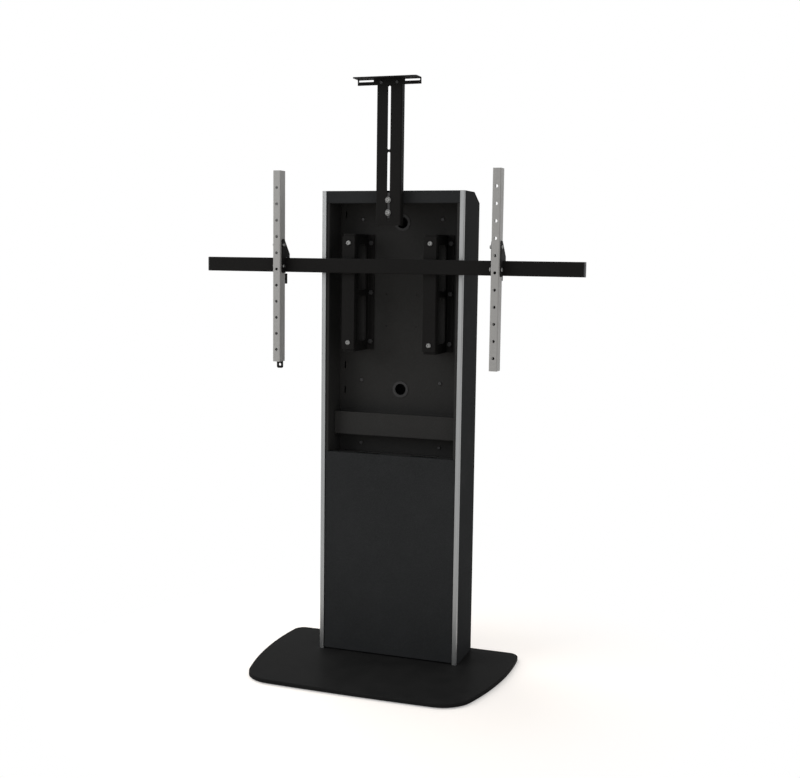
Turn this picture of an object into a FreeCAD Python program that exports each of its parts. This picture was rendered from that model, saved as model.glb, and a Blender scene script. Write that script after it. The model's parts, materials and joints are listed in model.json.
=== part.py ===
# Screen stand: foot plate, equipment column, display rail with two arms, camera mast
import FreeCAD, Part
import math
import os

# Fits and cuts
slide_gap = 0.1
fit_gap = 0.05
overrun = 6.0

# Foot plate and its pads
base_depth = 518.0
base_rear_width = 772.0
base_front_width = 662.0
base_side_bow = 31.0
base_front_bow = 7.0
front_corner_radius = 100.0
rear_corner_radius = 36.0
plate_thickness = 12.0
plate_edge_chamfer = 1.5
pad_radius = 25.0
pad_thickness = 4.0
pad_edge = 1.0
rear_pad_inset = 55.0
front_pad_inset = 78.0

# Column outside
column_width = 462.0
column_depth = 165.0
column_height = 1463.0
column_rear_setback = 19.0
sheet = 2.0
bend = 1.0
trim_width = 14.0
trim_depth = 8.0
trim_wall = 2.0
trim_slot = 4.0
trim_corner = 3.5
trim_edge = 0.5
strip_width = 10.0
panel_inset = 2.0
header_height = 38.0
header_return = 20.0
roof_slope_depth = 61.0
roof_slope_drop = 33.0
roof_skirt = 24.0
roof_flange = 18.0
side_lip = 17.0
jamb_depth = 16.0

# Column inside
upright_width = 80.0
upright_depth = 40.0
upright_wall = 3.0
upright_corner = 5.0
upright_inset = 99.0
upright_head_room = 43.0
foot_sheet = 4.0
foot_bend = 2.0
foot_front_setback = 28.0
foot_front_wall = 50.0
foot_rear_wall = 14.0
foot_wall_inset = 25.0
foot_bolt_radius = 5.0
foot_bolt_grip = 14.0
foot_bolt_inset = 17.0
foot_bolt_middle = 50.0
foot_bolt_front = 30.0
foot_bolt_rear = 97.0

# Equipment bay
bay_depth = 100.0
bay_height = 818.0
back_plate = 2.0
bay_flange = 15.0
back_plate_head_room = 9.0
bay_floor_drop = 6.0
bay_floor_flange = 14.0
floor_slot_length = 90.0
floor_slot_width = 28.0
floor_slot_spread = 95.0
tray_rise = 52.0
tray_lip = 72.5
tray_depth = 50.0
tray_end_gap = 2.0
tray_slot_length = 30.0
tray_slot_width = 6.0
tray_slot_pitch = 90.0
tray_screw_radius = 2.5
tray_screw_height = 36.0
equipment_pattern = 100.0
equipment_hole_radius = 2.25
equipment_drop = 369.0
grommet_hole_radius = 22.0
grommet_bore_radius = 18.0
grommet_lip = 4.0
grommet_lip_thickness = 2.0
lower_grommet_rise = 199.0
upper_grommet_drop = 94.0
tie_slot_length = 24.0
tie_slot_width = 5.0
tie_slot_side = 17.0
tie_slot_drop = 69.0
tie_slot_spacing = 80.0
tie_slot_count = 8
plate_screw_radius = 3.0
low_screw_rise = 20.0
high_screw_drop = 84.0

# Display rail and what carries it
rail_length = 1208.0
rail_height = 44.0
rail_depth = 20.0
rail_wall = 2.0
rail_corner = 3.0
rail_drop = 230.0
rail_reach = 43.0
end_cap = 3.0
end_plug = 12.0
strap_width = 40.0
strap_thickness = 6.0
strap_corner = 4.0
strap_above_rail = 90.0
strap_below_rail = 257.0
rail_bolt_radius = 4.0
rail_bolt_inset = 20.0
carrier_sheet = 4.0
carrier_bend = 2.0
carrier_flange = 20.0
carrier_overlap = 8.0
carrier_window_side = 18.0
carrier_window_end = 30.0
carrier_window_corner = 12.0
carrier_bolt_radius = 4.0
carrier_bolt_end = 26.0

# Display arms
arm_spacing = 700.0
arm_width = 25.0
arm_depth = 35.0
arm_wall = 2.0
arm_bend = 1.0
arm_above_rail = 289.0
arm_below_rail = 301.0
display_drop = 13.0
display_hole_pitch = 50.0
display_hole_steps = 5
display_hole_radius = 4.5
hook_thickness = 3.0
hook_above_rail = 80.0
hook_below_rail = 24.5
hook_front = 9.0
hook_shoulder = 16.0
hook_front_corner = 8.0
hook_corner = 4.0
hook_leg = 8.0
hook_leg_below_rail = 16.0
hook_nose_rise = 12.0
hook_rear_gap = 1.0
hook_bolt_radius = 3.0
hook_bolt_setback = 13.5
hook_bolt_below_rail = 4.0
hook_bolt_inset = 18.0

# Sliding latches inside the arms
latch_width = 16.0
latch_thickness = 4.0
latch_setback = 9.8
latch_travel = 22.0
latch_tab_width = 20.0
latch_tab_height = 32.0
latch_tab_corner = 5.0
latch_hole_radius = 4.5
latch_hole_rise = 11.0
latch_bar_gap = 3.0
latch_bar_height = 12.0
latch_finger = 5.0
latch_finger_gap = 2.5
latch_finger_rise = 17.0
latch_corner = 2.0
guide_height = 20.0
guide_depth = 18.0
lower_guide_rise = 52.0
upper_guide_rise = 212.0

# Camera mast and shelf
mast_width = 80.0
mast_channel_depth = 25.0
mast_sheet = 3.0
mast_reach = 33.0
mast_above_column = 327.0
mast_below_top = 106.0
mast_slot_width = 9.0
mast_slot_start = 12.0
mast_bridge_rise = 219.0
mast_bridge = 7.0
mast_slot_end = 19.0
mast_bolt_radius = 4.0
mast_bolt_drop = 30.0
mast_bolt_pitch = 38.0
washer_radius = 9.0
washer_thickness = 1.5
guide_block_above = 22.0
guide_block_below = 16.0
guide_block_edge = 1.5
guide_screw_radius = 2.5
guide_screw_spread = 24.0
guide_screw_drop = 12.0
guide_screw_grip = 16.0
shelf_width = 202.0
shelf_depth = 47.0
shelf_sheet = 3.0
shelf_corner = 6.0
shelf_flange = 16.5
shelf_slot_length = 48.0
shelf_slot_height = 5.5
shelf_slot_corner = 2.0
shelf_slot_side = 3.5
shelf_screw_radius = 2.5
shelf_screw_spread = 25.0
shelf_screw_drop = 8.5
camera_hole_radius = 3.4
camera_hole_setback = 20.0

# Front panel
panel_side_gap = 0.5
panel_floor_gap = 5.0
panel_return = 18.0
panel_top_side_gap = 2.5
panel_lift = 10.0
panel_lift_room = 12.0
stud_radius = 2.5
stud_head_radius = 4.5
stud_head = 2.0
stud_length = 5.5
stud_slot_gap = 0.1
stud_setback = 9.0
stud_end_distance = 90.0

# Rear door, its hinge and its lock
door_sheet = 1.5
door_depth = 14.0
door_side_gap = 1.5
door_top_gap = 2.0
door_bottom_gap = 14.0
door_corner = 3.0
pin_radius = 3.0
pin_reach = 12.0
pin_side_inset = 7.0
pin_rear_inset = 6.0
pin_rest_gap = 0.2
bracket_sheet = 3.0
bracket_depth = 16.0
bracket_tab = 22.0
bracket_front = 34.0
bracket_corner = 3.0
bracket_side = 8.0
bracket_rear_gap = 2.5
outlet_width = 120.0
outlet_height = 40.0
outlet_corner = 8.0
vent_length = 46.0
vent_width = 6.0
vent_pitch = 16.0
vent_rows = 7
vent_spread = 62.0
lower_vent_rise = 270.0
upper_vent_drop = 240.0
lock_side_inset = 20.5
lock_body_radius = 9.5
lock_flange_radius = 12.0
lock_flange = 1.5
lock_body_length = 16.0
lock_core_radius = 6.0
lock_nut_flats = 24.0
lock_nut = 5.0
key_slot_length = 7.0
key_slot_width = 1.6
key_slot_depth = 3.0
cam_thickness = 2.5
cam_boss_radius = 9.0
cam_width = 14.0
cam_reach = 34.0
cam_end_radius = 4.0

# Shares of a fastener's shank radius
hex_flats_share = 3.25
hex_height_share = 1.3
button_radius_share = 1.9
button_height_share = 1.15
button_dome_share = 0.55
button_crown_share = 0.7
socket_flats_share = 1.25
socket_depth_share = 0.6
nut_height_share = 1.6

# Planes and levels that follow from the sizes above
base_top = pad_thickness + plate_thickness
half_width = column_width / 2
column_top = base_top + column_height
column_rear = base_depth / 2 - column_rear_setback
column_front = column_rear - column_depth
inner_half = half_width - sheet
upright_spread = half_width - upright_inset
trim_inner = half_width - trim_width
trim_rear = column_front + trim_depth
bay_half = trim_inner - strip_width
panel_face = column_front + panel_inset
strip_face = panel_face + sheet + panel_side_gap
bay_back = column_front + bay_depth
upright_front = bay_back + back_plate
upright_rear = upright_front + upright_depth
foot_top = base_top + foot_sheet
roof_start = column_rear - roof_slope_depth
roof_low = column_top - roof_slope_drop
header_bottom = column_top - header_height
bay_sill_height = column_top - bay_height
bay_floor_top = bay_sill_height - bay_floor_drop
bay_floor_bottom = bay_floor_top - bay_floor_flange
tray_height = bay_sill_height + tray_rise
equipment_height = column_top - equipment_drop
grommet_heights = (bay_sill_height + lower_grommet_rise, column_top - upper_grommet_drop)
tie_slot_heights = [column_top - tie_slot_drop - step * tie_slot_spacing for step in range(tie_slot_count)]
panel_bottom = base_top + panel_floor_gap
panel_half = trim_inner - panel_side_gap
panel_rear = panel_face + sheet + panel_return
door_half = bay_half - door_side_gap
door_front = column_rear - door_depth
door_bottom = base_top + door_bottom_gap
door_top = roof_low - roof_skirt - door_top_gap
rail_front = column_front - rail_reach
rail_rear = rail_front + rail_depth
rail_centre_height = column_top - rail_drop
rail_top = rail_centre_height + rail_height / 2
rail_bottom = rail_centre_height - rail_height / 2
strap_rear = rail_rear + strap_thickness
strap_top = rail_centre_height + strap_above_rail
strap_bottom = rail_centre_height - strap_below_rail
carrier_top = strap_top + carrier_overlap
carrier_bottom = strap_bottom - carrier_overlap
plate_screw_heights = (
    bay_sill_height + low_screw_rise,
    (tray_height + tray_lip + carrier_bottom) / 2,
    column_top - high_screw_drop,
)
arm_rear = rail_front - slide_gap
arm_front = rail_front - arm_depth
arm_top = rail_centre_height + arm_above_rail
arm_bottom = rail_centre_height - arm_below_rail
display_height = rail_centre_height - display_drop
hook_top = rail_centre_height + hook_above_rail
hook_bottom = rail_centre_height - hook_below_rail
hook_leg_bottom = rail_centre_height - hook_leg_below_rail
hook_bolt_heights = (rail_centre_height - hook_bolt_below_rail, hook_top - hook_bolt_inset)
guide_levels = (arm_bottom + lower_guide_rise, arm_bottom + upper_guide_rise)
mast_front = column_front - mast_reach
mast_web_rear = mast_front + mast_sheet
mast_top = column_top + mast_above_column
mast_bottom = column_top - mast_below_top
mast_slot_bottom = mast_bottom + mast_slot_start
mast_bridge_bottom = mast_bottom + mast_bridge_rise
mast_slot_top = mast_top - mast_slot_end
upper_mast_bolt = column_top - mast_bolt_drop
lower_mast_bolt = upper_mast_bolt - mast_bolt_pitch
stud_y = panel_face + sheet + stud_setback
hinge_x = pin_side_inset - door_half
hinge_y = column_rear - pin_rear_inset
vent_heights = (door_bottom + lower_vent_rise, door_top - upper_vent_drop)
lock_x = door_half - lock_side_inset
lock_height = (door_bottom + door_top) / 2

axis_x = FreeCAD.Vector(1, 0, 0)
axis_y = FreeCAD.Vector(0, 1, 0)
axis_z = FreeCAD.Vector(0, 0, 1)


# Small shape helpers
def spot(axis, level, first, second):
    """Point on the plane across an axis, at a level along that axis."""
    if axis == "x":
        return FreeCAD.Vector(level, first, second)
    if axis == "y":
        return FreeCAD.Vector(first, level, second)
    return FreeCAD.Vector(first, second, level)


def along(axis):
    """Unit direction of a named axis."""
    return {"x": axis_x, "y": axis_y, "z": axis_z}[axis]


def box(x_range, y_range, z_range):
    """Block between three pairs of limits."""
    corner = FreeCAD.Vector(x_range[0], y_range[0], z_range[0])
    return Part.makeBox(
        x_range[1] - x_range[0],
        y_range[1] - y_range[0],
        z_range[1] - z_range[0],
        corner,
    )


def rounded_wire(corners, radii, axis, level):
    """Closed wire through the corners, with each corner rounded by its own radius."""
    entries = []
    for i, here in enumerate(corners):
        before = corners[i - 1]
        after = corners[(i + 1) % len(corners)]
        back = (before[0] - here[0], before[1] - here[1])
        ahead = (after[0] - here[0], after[1] - here[1])
        back_run = math.hypot(back[0], back[1])
        ahead_run = math.hypot(ahead[0], ahead[1])
        back = (back[0] / back_run, back[1] / back_run)
        ahead = (ahead[0] / ahead_run, ahead[1] / ahead_run)
        if radii[i] == 0:
            entries.append((here, None, here))
            continue
        half = math.acos(back[0] * ahead[0] + back[1] * ahead[1]) / 2
        cut = radii[i] / math.tan(half)
        middle = (back[0] + ahead[0], back[1] + ahead[1])
        middle_run = math.hypot(middle[0], middle[1])
        depth = radii[i] / math.sin(half) - radii[i]
        crown = (
            here[0] + middle[0] / middle_run * depth,
            here[1] + middle[1] / middle_run * depth,
        )
        start = (here[0] + back[0] * cut, here[1] + back[1] * cut)
        end = (here[0] + ahead[0] * cut, here[1] + ahead[1] * cut)
        entries.append((start, crown, end))
    edges = []
    for i, (start, crown, end) in enumerate(entries):
        if crown is not None:
            points = [spot(axis, level, *point) for point in (start, crown, end)]
            edges.append(Part.Arc(*points).toShape())
        following = entries[(i + 1) % len(entries)][0]
        first = spot(axis, level, *end)
        second = spot(axis, level, *following)
        if (second - first).Length > fit_gap / overrun:
            edges.append(Part.makeLine(first, second))
    return Part.Wire(edges)


def prism(corners, radii, axis, start, end):
    """Solid pushed along an axis from start to end, with a rounded outline."""
    face = Part.Face(rounded_wire(corners, radii, axis, start))
    return face.extrude(along(axis) * (end - start))


def plate(first_range, second_range, radius, axis, start, end):
    """Rectangular solid across an axis, with its four corners rounded alike."""
    corners = [
        (first_range[0], second_range[0]),
        (first_range[1], second_range[0]),
        (first_range[1], second_range[1]),
        (first_range[0], second_range[1]),
    ]
    return prism(corners, [radius] * len(corners), axis, start, end)


def bent_sheet(path, side, thickness, inner_radius, axis, start, end):
    """Folded sheet: one face follows the path, the body lies left (1) or right (-1) of it."""
    normals = []
    for first, second in zip(path, path[1:]):
        run = math.hypot(second[0] - first[0], second[1] - first[1])
        normals.append((side * (first[1] - second[1]) / run, side * (second[0] - first[0]) / run))
    other = []
    path_radii = []
    other_radii = []
    for i, point in enumerate(path):
        before = normals[max(i - 1, 0)]
        after = normals[min(i, len(normals) - 1)]
        reach = thickness / (1 + before[0] * after[0] + before[1] * after[1])
        offset = (reach * (before[0] + after[0]), reach * (before[1] + after[1]))
        other.append((point[0] + offset[0], point[1] + offset[1]))
        turn = (before[0] * after[1] - before[1] * after[0]) * side
        is_end = i in (0, len(path) - 1)
        outer_radius = inner_radius + thickness
        path_radii.append(0 if is_end else outer_radius if turn > 0 else inner_radius)
        other_radii.append(0 if is_end else inner_radius if turn > 0 else outer_radius)
    corners = list(path) + other[::-1]
    return prism(corners, path_radii + other_radii[::-1], axis, start, end)


def tube(first_range, second_range, wall, corner, axis, start, end):
    """Square tube along an axis."""
    outside = plate(first_range, second_range, corner, axis, start, end)
    inner_first = (first_range[0] + wall, first_range[1] - wall)
    inner_second = (second_range[0] + wall, second_range[1] - wall)
    inside = plate(inner_first, inner_second, corner - wall, axis, start - overrun, end + overrun)
    return outside.cut(inside)


def rod(axis, start, end, first, second, radius):
    """Round bar or round hole along an axis."""
    return Part.makeCylinder(radius, end - start, spot(axis, start, first, second), along(axis))


def slot(axis, start, end, centre, length, width, upright=False):
    """Slot cutter with round ends, long along the first direction unless upright."""
    long_half = length / 2
    short_half = width / 2
    first = (centre[0] - long_half, centre[0] + long_half)
    second = (centre[1] - short_half, centre[1] + short_half)
    if upright:
        first = (centre[0] - short_half, centre[0] + short_half)
        second = (centre[1] - long_half, centre[1] + long_half)
    return plate(first, second, short_half, axis, start, end)


def hexagon(flats, height):
    """Six-sided block standing on the origin."""
    reach = flats / math.sqrt(3)
    points = []
    for step in range(7):
        angle = math.radians(60 * step)
        points.append(FreeCAD.Vector(reach * math.cos(angle), reach * math.sin(angle), 0))
    return Part.Face(Part.makePolygon(points)).extrude(axis_z * height)


def placed(shape, point, direction):
    """Turn a shape from +Z to a direction and move it to a point."""
    shape.Placement = FreeCAD.Placement(point, FreeCAD.Rotation(axis_z, direction))
    return shape


def hex_bolt(point, direction, radius, grip):
    """Hexagon bolt: the head sits on the point, the shank runs along the direction."""
    height = radius * hex_height_share
    head = hexagon(radius * hex_flats_share, height)
    head.translate(axis_z * -height)
    shank = Part.makeCylinder(radius, grip)
    return placed(head.fuse(shank).removeSplitter(), point, direction)


def button_bolt(point, direction, radius, grip):
    """Domed socket bolt: the head sits on the point, the shank runs along the direction."""
    height = radius * button_height_share
    wide = radius * button_radius_share
    skirt = height * (1 - button_dome_share)
    head = Part.makeCylinder(wide, skirt)
    dome = Part.makeCone(wide, wide * button_crown_share, height - skirt, axis_z * skirt)
    head = head.fuse(dome)
    socket = hexagon(radius * socket_flats_share, height)
    socket.translate(axis_z * height * (1 - socket_depth_share))
    head = head.cut(socket)
    head.rotate(FreeCAD.Vector(0, 0, 0), axis_x, 180)
    shank = Part.makeCylinder(radius, grip)
    return placed(head.fuse(shank).removeSplitter(), point, direction)


def nut(point, direction, radius):
    """Hexagon nut that sits on the point and reaches along the direction."""
    height = radius * nut_height_share
    ring = hexagon(radius * hex_flats_share, height).cut(Part.makeCylinder(radius + fit_gap, height))
    return placed(ring, point, direction)


def drilled(shape, axis, start, end, spots, radius):
    """Shape with the same round hole at several spots."""
    for first, second in spots:
        shape = shape.cut(rod(axis, start, end, first, second, radius))
    return shape


def both_sides(first_values, second_values):
    """Every pair of left and right places with a second value."""
    pairs = [(first, second) for first in first_values for second in second_values]
    return [(side * first, second) for side in (-1, 1) for first, second in pairs]


def mirrored(shape):
    """Left-hand copy of a right-hand shape."""
    return shape.mirror(FreeCAD.Vector(0, 0, 0), axis_x)


def sided(shape, side):
    """Right-hand shape for side 1, its mirror image for side -1."""
    return shape if side > 0 else mirrored(shape)


# Foot
def foot_outline():
    """Plan outline of the foot plate: straight rear edge, bowed sides and front."""
    rear = base_depth / 2
    rear_half = base_rear_width / 2
    front_half = base_front_width / 2
    front_end = base_front_bow - rear
    middle_half = (rear_half + front_half) / 2 + base_side_bow
    middle_y = (rear + front_end) / 2
    rear_left = FreeCAD.Vector(-rear_half, rear, pad_thickness)
    rear_right = FreeCAD.Vector(rear_half, rear, pad_thickness)
    front_left = FreeCAD.Vector(-front_half, front_end, pad_thickness)
    front_right = FreeCAD.Vector(front_half, front_end, pad_thickness)
    side_left = FreeCAD.Vector(-middle_half, middle_y, pad_thickness)
    side_right = FreeCAD.Vector(middle_half, middle_y, pad_thickness)
    nose = FreeCAD.Vector(0, -rear, pad_thickness)
    return Part.Wire([
        Part.makeLine(rear_left, rear_right),
        Part.Arc(rear_right, side_right, front_right).toShape(),
        Part.Arc(front_right, nose, front_left).toShape(),
        Part.Arc(front_left, side_left, rear_left).toShape(),
    ])


def foot_bolt_spots():
    """Plan positions of the bolts that hold the column to the foot plate."""
    outer = bay_half - foot_bolt_inset - tray_end_gap
    front = column_front + foot_front_setback
    rows = (front + foot_bolt_front, front + foot_bolt_rear)
    return both_sides((outer, foot_bolt_middle), rows)


def base_plate():
    """Steel foot plate with rounded corners and a chamfered upper edge."""
    body = Part.Face(foot_outline()).extrude(axis_z * plate_thickness)
    uprights = [edge for edge in body.Edges if abs(edge.tangentAt(edge.FirstParameter).z) > 1 - fit_gap]
    front = [edge for edge in uprights if edge.CenterOfMass.y < 0]
    rear = [edge for edge in uprights if edge.CenterOfMass.y > 0]
    body = body.makeFillet(front_corner_radius, front)
    places = [edge.CenterOfMass for edge in rear]
    rear = [edge for edge in body.Edges if any((edge.CenterOfMass - p).Length < fit_gap for p in places)]
    body = body.makeFillet(rear_corner_radius, rear)
    rim = [edge for edge in body.Edges if edge.BoundBox.ZMin > base_top - fit_gap]
    body = body.makeChamfer(plate_edge_chamfer, rim)
    return drilled(body, "z", 0, base_top + overrun, foot_bolt_spots(), foot_bolt_radius + fit_gap)


def base_pads():
    """Rubber pads under the corners and the middle of the foot plate."""
    rear = (base_rear_width / 2 - rear_pad_inset, base_depth / 2 - rear_pad_inset)
    front = (base_front_width / 2 - front_pad_inset, front_pad_inset - base_depth / 2)
    spots = [rear, (-rear[0], rear[1]), front, (-front[0], front[1])]
    pads = []
    for x, y in spots:
        pad = rod("z", 0, pad_thickness, x, y, pad_radius)
        lower = [edge for edge in pad.Edges if edge.BoundBox.ZMax < fit_gap]
        pads.append(pad.makeChamfer(pad_edge, lower))
    return pads


def column_foot():
    """Folded tray that the uprights stand in."""
    front = column_front + foot_front_setback
    rear = upright_rear + foot_bend + foot_sheet
    path = [
        (front, base_top + foot_front_wall),
        (front, base_top),
        (rear, base_top),
        (rear, foot_top + foot_rear_wall),
    ]
    half = bay_half - tray_end_gap
    tray = bent_sheet(path, 1, foot_sheet, foot_bend, "x", -half, half)
    tall = (foot_top, foot_top + foot_front_wall)
    for side in (-1, 1):
        across = sorted((side * (half - foot_wall_inset), side * (half + overrun)))
        tray = tray.cut(box(across, (upright_rear - foot_wall_inset, rear + overrun), tall))
    return drilled(tray, "z", 0, foot_top + overrun, foot_bolt_spots(), foot_bolt_radius + fit_gap)


def foot_bolts():
    """Bolts through the tray into the foot plate."""
    down = axis_z * -1
    return [
        hex_bolt(FreeCAD.Vector(x, y, foot_top), down, foot_bolt_radius, foot_bolt_grip)
        for x, y in foot_bolt_spots()
    ]


# Column
def carrier_bolt_spots():
    """Front view positions of the bolts through the right-hand carrier's flanges."""
    reach = strap_width / 2 + carrier_flange / 2
    middle = (carrier_bottom + carrier_top) / 2
    heights = (carrier_bottom + carrier_bolt_end, middle, carrier_top - carrier_bolt_end)
    return [(upright_spread + side * reach, z) for side in (-1, 1) for z in heights]


def tray_screw_spots():
    """Front view positions of the screws through the tray's rear flange."""
    return both_sides((upright_spread,), (tray_height + tray_screw_height,))


def plate_screw_spots():
    """Front view positions of the screws that hold the back plate."""
    return both_sides((upright_spread,), plate_screw_heights)


def upright(side):
    """Square tube behind the bay, drilled for the bolts that hold the rail."""
    half = upright_width / 2
    across = (upright_spread - half, upright_spread + half)
    deep = (upright_front, upright_rear)
    body = tube(across, deep, upright_wall, upright_corner, "z", foot_top, column_top - upright_head_room)
    wall_end = upright_front + upright_wall + slide_gap
    start = upright_front - overrun
    body = drilled(body, "y", start, wall_end, carrier_bolt_spots(), carrier_bolt_radius + fit_gap)
    body = drilled(body, "y", start, wall_end, tray_screw_spots(), tray_screw_radius + fit_gap)
    body = drilled(body, "y", start, wall_end, plate_screw_spots(), plate_screw_radius + fit_gap)
    return sided(body, side)


def roof_line(drop):
    """Side view of the roof, lowered by a sheet thickness measured square to it."""
    slope = math.hypot(roof_slope_depth, roof_slope_drop)
    vertical = drop * slope / roof_slope_depth
    shift = (vertical - drop) * roof_slope_depth / roof_slope_drop
    return [
        (roof_start - shift, column_top - drop),
        (column_rear + overrun, roof_low - vertical - overrun * roof_slope_drop / roof_slope_depth),
    ]


def above_roof(drop, half):
    """Everything above the roof line, between two side limits."""
    line = roof_line(drop)
    high = column_top + overrun
    corners = [(column_front - overrun, line[0][1])] + line
    corners += [(column_rear + overrun, high), (column_front - overrun, high)]
    return prism(corners, [0] * len(corners), "x", -half, half)


def side_panel(side):
    """Folded side of the column: outer wall, rear jamb and front lip."""
    path = [
        (bay_half, column_rear - jamb_depth),
        (bay_half, column_rear),
        (half_width, column_rear),
        (half_width, trim_rear),
        (trim_inner, trim_rear),
        (trim_inner, trim_rear + side_lip),
    ]
    body = bent_sheet(path, -1, sheet, bend, "z", base_top, column_top)
    body = body.cut(above_roof(0, column_width))
    body = body.cut(above_roof(sheet, inner_half))
    return sided(body, side)


def front_trim(side):
    """Pale corner extrusion with a rounded outer edge and a hollow back."""
    corners = [
        (trim_inner, column_front),
        (half_width, column_front),
        (half_width, trim_rear),
        (trim_inner, trim_rear),
    ]
    radii = [trim_edge, trim_corner, trim_edge, trim_edge]
    body = prism(corners, radii, "z", base_top, column_top)
    low = base_top - overrun
    high = column_top + overrun
    across = (trim_inner + trim_wall, half_width - trim_wall)
    deep = (column_front + trim_wall, trim_rear - trim_wall)
    body = body.cut(box(across, deep, (low, high)))
    middle = (trim_inner + half_width) / 2
    gap = (middle - trim_slot / 2, middle + trim_slot / 2)
    body = body.cut(box(gap, (deep[0], trim_rear + overrun), (low, high)))
    return sided(body, side)


def top_cap():
    """Folded roof with the header lip, the rear slope and two end flanges."""
    slope = roof_line(0)
    path = [
        (panel_face + header_return, header_bottom),
        (panel_face, header_bottom),
        (panel_face, column_top),
        (roof_start, column_top),
        (column_rear, roof_low),
        (column_rear, roof_low - roof_skirt),
    ]
    body = bent_sheet(path, -1, sheet, bend, "x", -inner_half, inner_half)
    low = header_bottom - overrun
    front = column_front - overrun
    for side in (-1, 1):
        beside = sorted((side * panel_half, side * (half_width + overrun)))
        body = body.cut(box(beside, (front, trim_rear), (low, slope[0][1] + overrun)))
        beside = sorted((side * (bay_half - slide_gap), side * (half_width + overrun)))
        body = body.cut(box(beside, (panel_face + sheet, roof_start), (low, column_top - sheet)))
        skirt = (column_rear - sheet - bend, column_rear + overrun)
        body = body.cut(box(beside, skirt, (roof_low - roof_skirt - overrun, roof_low)))
        flange = end_flange()
        body = body.fuse(flange if side > 0 else mirrored(flange))
    body = body.removeSplitter()
    grip = (mast_front, panel_face + sheet + overrun)
    body = drilled(body, "y", grip[0], grip[1], [(0, upper_mast_bolt)], mast_bolt_radius + fit_gap)
    return drilled(body, "y", grip[0], grip[1], guide_screw_spots(), guide_screw_radius + fit_gap)


def end_flange():
    """Right-hand end of the roof, folded down inside the side panel."""
    front = trim_rear + side_lip + sheet
    rear = column_rear - jamb_depth - sheet
    low = roof_low - roof_flange
    body = box((inner_half - sheet, inner_half), (front, rear), (low, column_top - sheet / 2))
    return body.cut(above_roof(sheet / 2, column_width))


def bay_side(side):
    """Inner wall of the bay with the dark strip beside the trim."""
    path = [
        (trim_inner, strip_face),
        (bay_half, strip_face),
        (bay_half, bay_back),
        (bay_half + bay_flange, bay_back),
    ]
    body = bent_sheet(path, -1, sheet, bend, "z", bay_floor_bottom, column_top - sheet)
    notch = box(
        (bay_half - overrun, trim_inner + overrun),
        (strip_face - overrun, panel_rear + panel_side_gap),
        (bay_floor_bottom - overrun, bay_sill_height),
    )
    return sided(body.cut(notch), side)


def grommet_spots():
    """Front view positions of the cable holes in the back plate."""
    return [(0, z) for z in grommet_heights]


def equipment_spots():
    """Front view positions of the four equipment holes."""
    half = equipment_pattern / 2
    return both_sides((half,), (equipment_height - half, equipment_height + half))


def bay_back_plate():
    """Back of the bay with equipment holes, cable holes and tie slots."""
    half = bay_half + bay_flange
    start = bay_back - overrun
    end = upright_front + overrun
    tall = (bay_floor_bottom, column_top - back_plate_head_room)
    body = box((-half, half), (bay_back, upright_front), tall)
    body = drilled(body, "y", start, end, equipment_spots(), equipment_hole_radius)
    body = drilled(body, "y", start, end, grommet_spots(), grommet_hole_radius)
    body = drilled(body, "y", start, end, tray_screw_spots(), tray_screw_radius + fit_gap)
    body = drilled(body, "y", start, end, plate_screw_spots(), plate_screw_radius + fit_gap)
    bolts = carrier_bolt_spots()
    bolts += [(-x, z) for x, z in bolts]
    body = drilled(body, "y", start, end, bolts, carrier_bolt_radius + fit_gap)
    for centre in both_sides((bay_half - tie_slot_side,), tie_slot_heights):
        body = body.cut(slot("y", start, end, centre, tie_slot_length, tie_slot_width, upright=True))
    return body


def bay_floor():
    """Floor of the bay with two cable slots, folded down at both ends."""
    path = [
        (-bay_half, bay_floor_bottom),
        (-bay_half, bay_floor_top),
        (bay_half, bay_floor_top),
        (bay_half, bay_floor_bottom),
    ]
    front = panel_rear + panel_top_side_gap
    body = bent_sheet(path, -1, sheet, bend, "y", front, bay_back)
    middle = (front + bay_back) / 2
    for side in (-1, 1):
        centre = (side * floor_slot_spread, middle)
        start = bay_floor_top - sheet - overrun
        end = bay_floor_top + overrun
        body = body.cut(slot("z", start, end, centre, floor_slot_length, floor_slot_width))
    return body


def equipment_tray():
    """Folded shelf in the bay with a tall front lip and slots for ties."""
    front = bay_back - tray_depth
    path = [
        (front, tray_height + tray_lip),
        (front, tray_height),
        (bay_back, tray_height),
        (bay_back, tray_height + tray_lip),
    ]
    half = bay_half - tray_end_gap
    body = bent_sheet(path, 1, sheet, bend, "x", -half, half)
    start = bay_back - sheet - overrun
    body = drilled(body, "y", start, bay_back + overrun, tray_screw_spots(), tray_screw_radius + fit_gap)
    middle = front + tray_depth / 2
    low = tray_height - overrun
    high = tray_height + sheet + overrun
    for step in (-1, 0, 1):
        centre = (step * tray_slot_pitch, middle)
        body = body.cut(slot("z", low, high, centre, tray_slot_length, tray_slot_width))
    return body


def wall_screws(spots, seat, radius):
    """Domed screws from the front through to the uprights."""
    grip = upright_front + upright_wall - seat
    return [button_bolt(FreeCAD.Vector(x, seat, z), axis_y, radius, grip) for x, z in spots]


def cable_grommet(x, z):
    """Rubber ring with a groove that grips the edge of the cable hole."""
    outer = grommet_hole_radius + grommet_lip
    groove = grommet_hole_radius
    front = bay_back - grommet_lip_thickness
    rear = upright_front + grommet_lip_thickness
    points = [
        (grommet_bore_radius, front),
        (outer, front),
        (outer, bay_back),
        (groove, bay_back),
        (groove, upright_front),
        (outer, upright_front),
        (outer, rear),
        (grommet_bore_radius, rear),
    ]
    vectors = [FreeCAD.Vector(radius, y, 0) for radius, y in points]
    profile = Part.Face(Part.makePolygon(vectors + vectors[:1]))
    ring = profile.revolve(FreeCAD.Vector(0, 0, 0), axis_y, 360)
    ring.translate(FreeCAD.Vector(x, 0, z))
    return ring


# Display rail
def rail_bolt_heights():
    """Heights of the two bolts in each strap."""
    return (strap_bottom + rail_bolt_inset, strap_top - rail_bolt_inset)


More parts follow.
